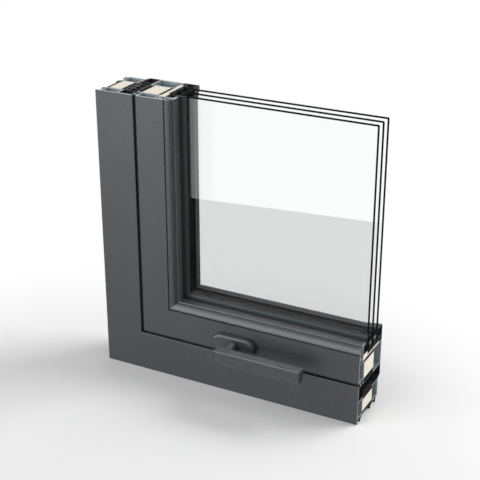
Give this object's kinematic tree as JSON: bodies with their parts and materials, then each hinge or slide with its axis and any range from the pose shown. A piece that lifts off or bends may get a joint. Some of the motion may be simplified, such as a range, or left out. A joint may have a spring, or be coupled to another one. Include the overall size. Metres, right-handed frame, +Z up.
{
  "type": "awning window corner sample",
  "caption": "Cut corner sample of a thermally broken aluminium awning window: mitred frame and sash, insulating glass, gaskets and a turning lever handle.",
  "frame": {"origin": "middle of the sample's footprint, on the level it stands on", "axes": "+Z up along the jamb, +X along the sill away from the corner, +Y from the room side to the weather side"},
  "size_m": [0.375, 0.1208, 0.392],
  "materials": {
    "coated_aluminium": "fine textured anthracite powder coat, bare metal at the saw cuts and in the chambers",
    "handle_coat": "anthracite powder coat",
    "polyamide": "dark glass-filled polyamide",
    "insulating_foam": "cream rigid foam",
    "black_rubber": "black extruded rubber",
    "edge_sealant": "black sealant",
    "spacer_bar": "black warm-edge spacer with a pale chamber of desiccant",
    "window_glass": "clear float glass"
  },
  "bodies": {
    "window": {"handle_rosette": "handle_coat", "inner_pane": "window_glass", "jamb_centre_gasket": "black_rubber", "jamb_foam": "insulating_foam", "jamb_foot_strips": "black_rubber", "jamb_inner_bar": "polyamide", "jamb_outer_bar": "polyamide", "jamb_room_shell": "coated_aluminium", "jamb_stop_gasket": "black_rubber", "jamb_weather_shell": "coated_aluminium", "middle_pane": "window_glass", "outer_pane": "window_glass", "rail_bead": "coated_aluminium", "rail_edge_seals": "edge_sealant", "rail_foam": "insulating_foam", "rail_inner_bar": "polyamide", "rail_inner_gasket": "black_rubber", "rail_outer_bar": "polyamide", "rail_overlap_gasket": "black_rubber", "rail_rebate_strip": "insulating_foam", "rail_room_shell": "coated_aluminium", "rail_spacers": "spacer_bar", "rail_weather_gasket": "black_rubber", "rail_weather_shell": "coated_aluminium", "sill_centre_gasket": "black_rubber", "sill_foam": "insulating_foam", "sill_foot_strips": "black_rubber", "sill_inner_bar": "polyamide", "sill_outer_bar": "polyamide", "sill_room_shell": "coated_aluminium", "sill_stop_gasket": "black_rubber", "sill_weather_shell": "coated_aluminium", "stile_bead": "coated_aluminium", "stile_edge_seals": "edge_sealant", "stile_foam": "insulating_foam", "stile_inner_bar": "polyamide", "stile_inner_gasket": "black_rubber", "stile_outer_bar": "polyamide", "stile_overlap_gasket": "black_rubber", "stile_rebate_strip": "insulating_foam", "stile_room_shell": "coated_aluminium", "stile_spacers": "spacer_bar", "stile_weather_gasket": "black_rubber", "stile_weather_shell": "coated_aluminium"},
    "handle": {"handle_lever": "handle_coat"}
  },
  "joints": [
    {"name": "handle_turn", "type": "hinge", "parent": "window", "child": "handle", "pos_m": [0.014, -0.02685, 0.0745], "axis": [0, -1, 0], "range_deg": [0, 90]}
  ]
}
